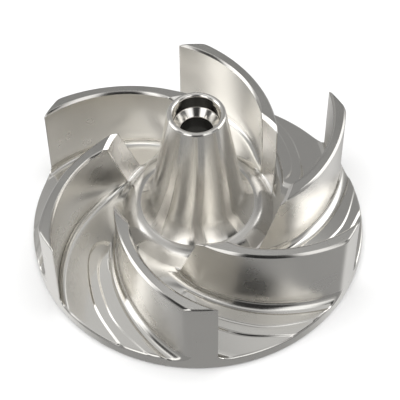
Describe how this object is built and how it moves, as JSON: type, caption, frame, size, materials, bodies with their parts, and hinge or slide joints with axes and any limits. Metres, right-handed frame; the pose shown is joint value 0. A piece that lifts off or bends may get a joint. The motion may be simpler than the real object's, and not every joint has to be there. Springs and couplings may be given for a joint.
{
  "type": "water pump impeller",
  "caption": "Semi-open pump impeller in machined stainless steel: tall hub cone with a countersunk bolt hole, round back plate and upright swept blades.",
  "frame": {"origin": "centre of the flat back face, on the shaft axis", "axes": "+Z along the shaft axis from the back face to the hub nose, -Y towards the picture's viewer"},
  "size_m": [0.15, 0.15, 0.0793],
  "materials": {
    "machined_steel": "bright turned and milled stainless steel, polished in the countersink and on the blade walls"
  },
  "bodies": {
    "root": {"impeller": "machined_steel"}
  },
  "joints": []
}
